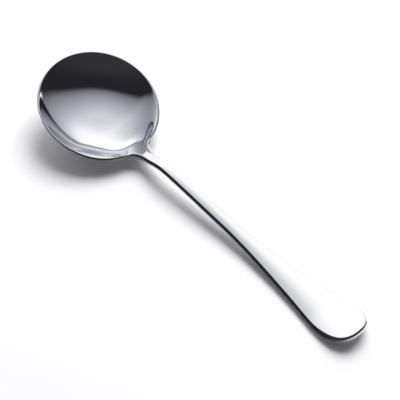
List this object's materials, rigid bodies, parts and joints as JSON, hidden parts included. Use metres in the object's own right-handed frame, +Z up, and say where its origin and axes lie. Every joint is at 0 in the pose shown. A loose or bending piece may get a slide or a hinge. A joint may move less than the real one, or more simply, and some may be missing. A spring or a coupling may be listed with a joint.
{
  "type": "round bowl spoon",
  "caption": "Mirror-polished stainless steel spoon with a round bowl, a slim neck and a plain handle that widens to a rounded, slightly turned-up end.",
  "frame": {"origin": "on the table below the middle of the spoon's length", "axes": "+X from the bowl towards the end of the handle, +Z up out of the hollow side, +Y across the spoon"},
  "size_m": [0.1568, 0.045, 0.0177],
  "materials": {
    "polished_steel": "mirror polished stainless steel"
  },
  "bodies": {
    "root": {"bowl": "polished_steel", "neck": "polished_steel", "handle": "polished_steel"}
  },
  "joints": []
}
